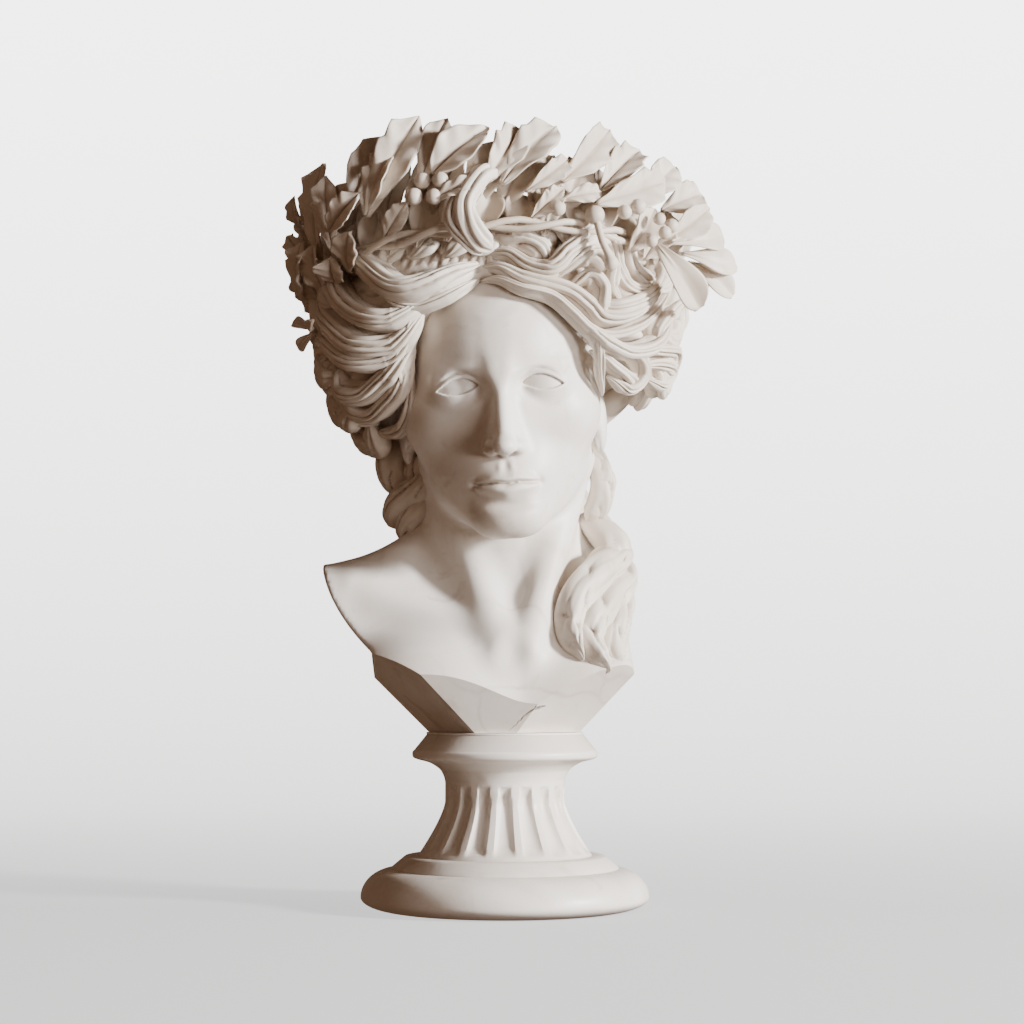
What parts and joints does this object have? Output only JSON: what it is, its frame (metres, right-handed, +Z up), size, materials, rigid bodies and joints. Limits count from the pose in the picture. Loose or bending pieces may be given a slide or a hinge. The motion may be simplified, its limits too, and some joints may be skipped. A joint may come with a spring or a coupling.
{
  "type": "marble portrait bust on a socle",
  "caption": "Marble head and shoulders with wavy hair and a wreath of leaves, cut to a faceted foot and standing on a round turned and fluted socle.",
  "frame": {"origin": "centre of the socle's flat underside, on the floor", "axes": "+Z up, the face looks along -Y, +X is the right-hand side of someone who looks at the face"},
  "size_m": [0.3684, 0.275, 0.6117],
  "materials": {
    "bust_marble": "honed warm white marble",
    "socle_marble": "lightly polished warm white marble"
  },
  "bodies": {
    "root": {"bust": "bust_marble", "socle": "socle_marble"}
  },
  "joints": []
}
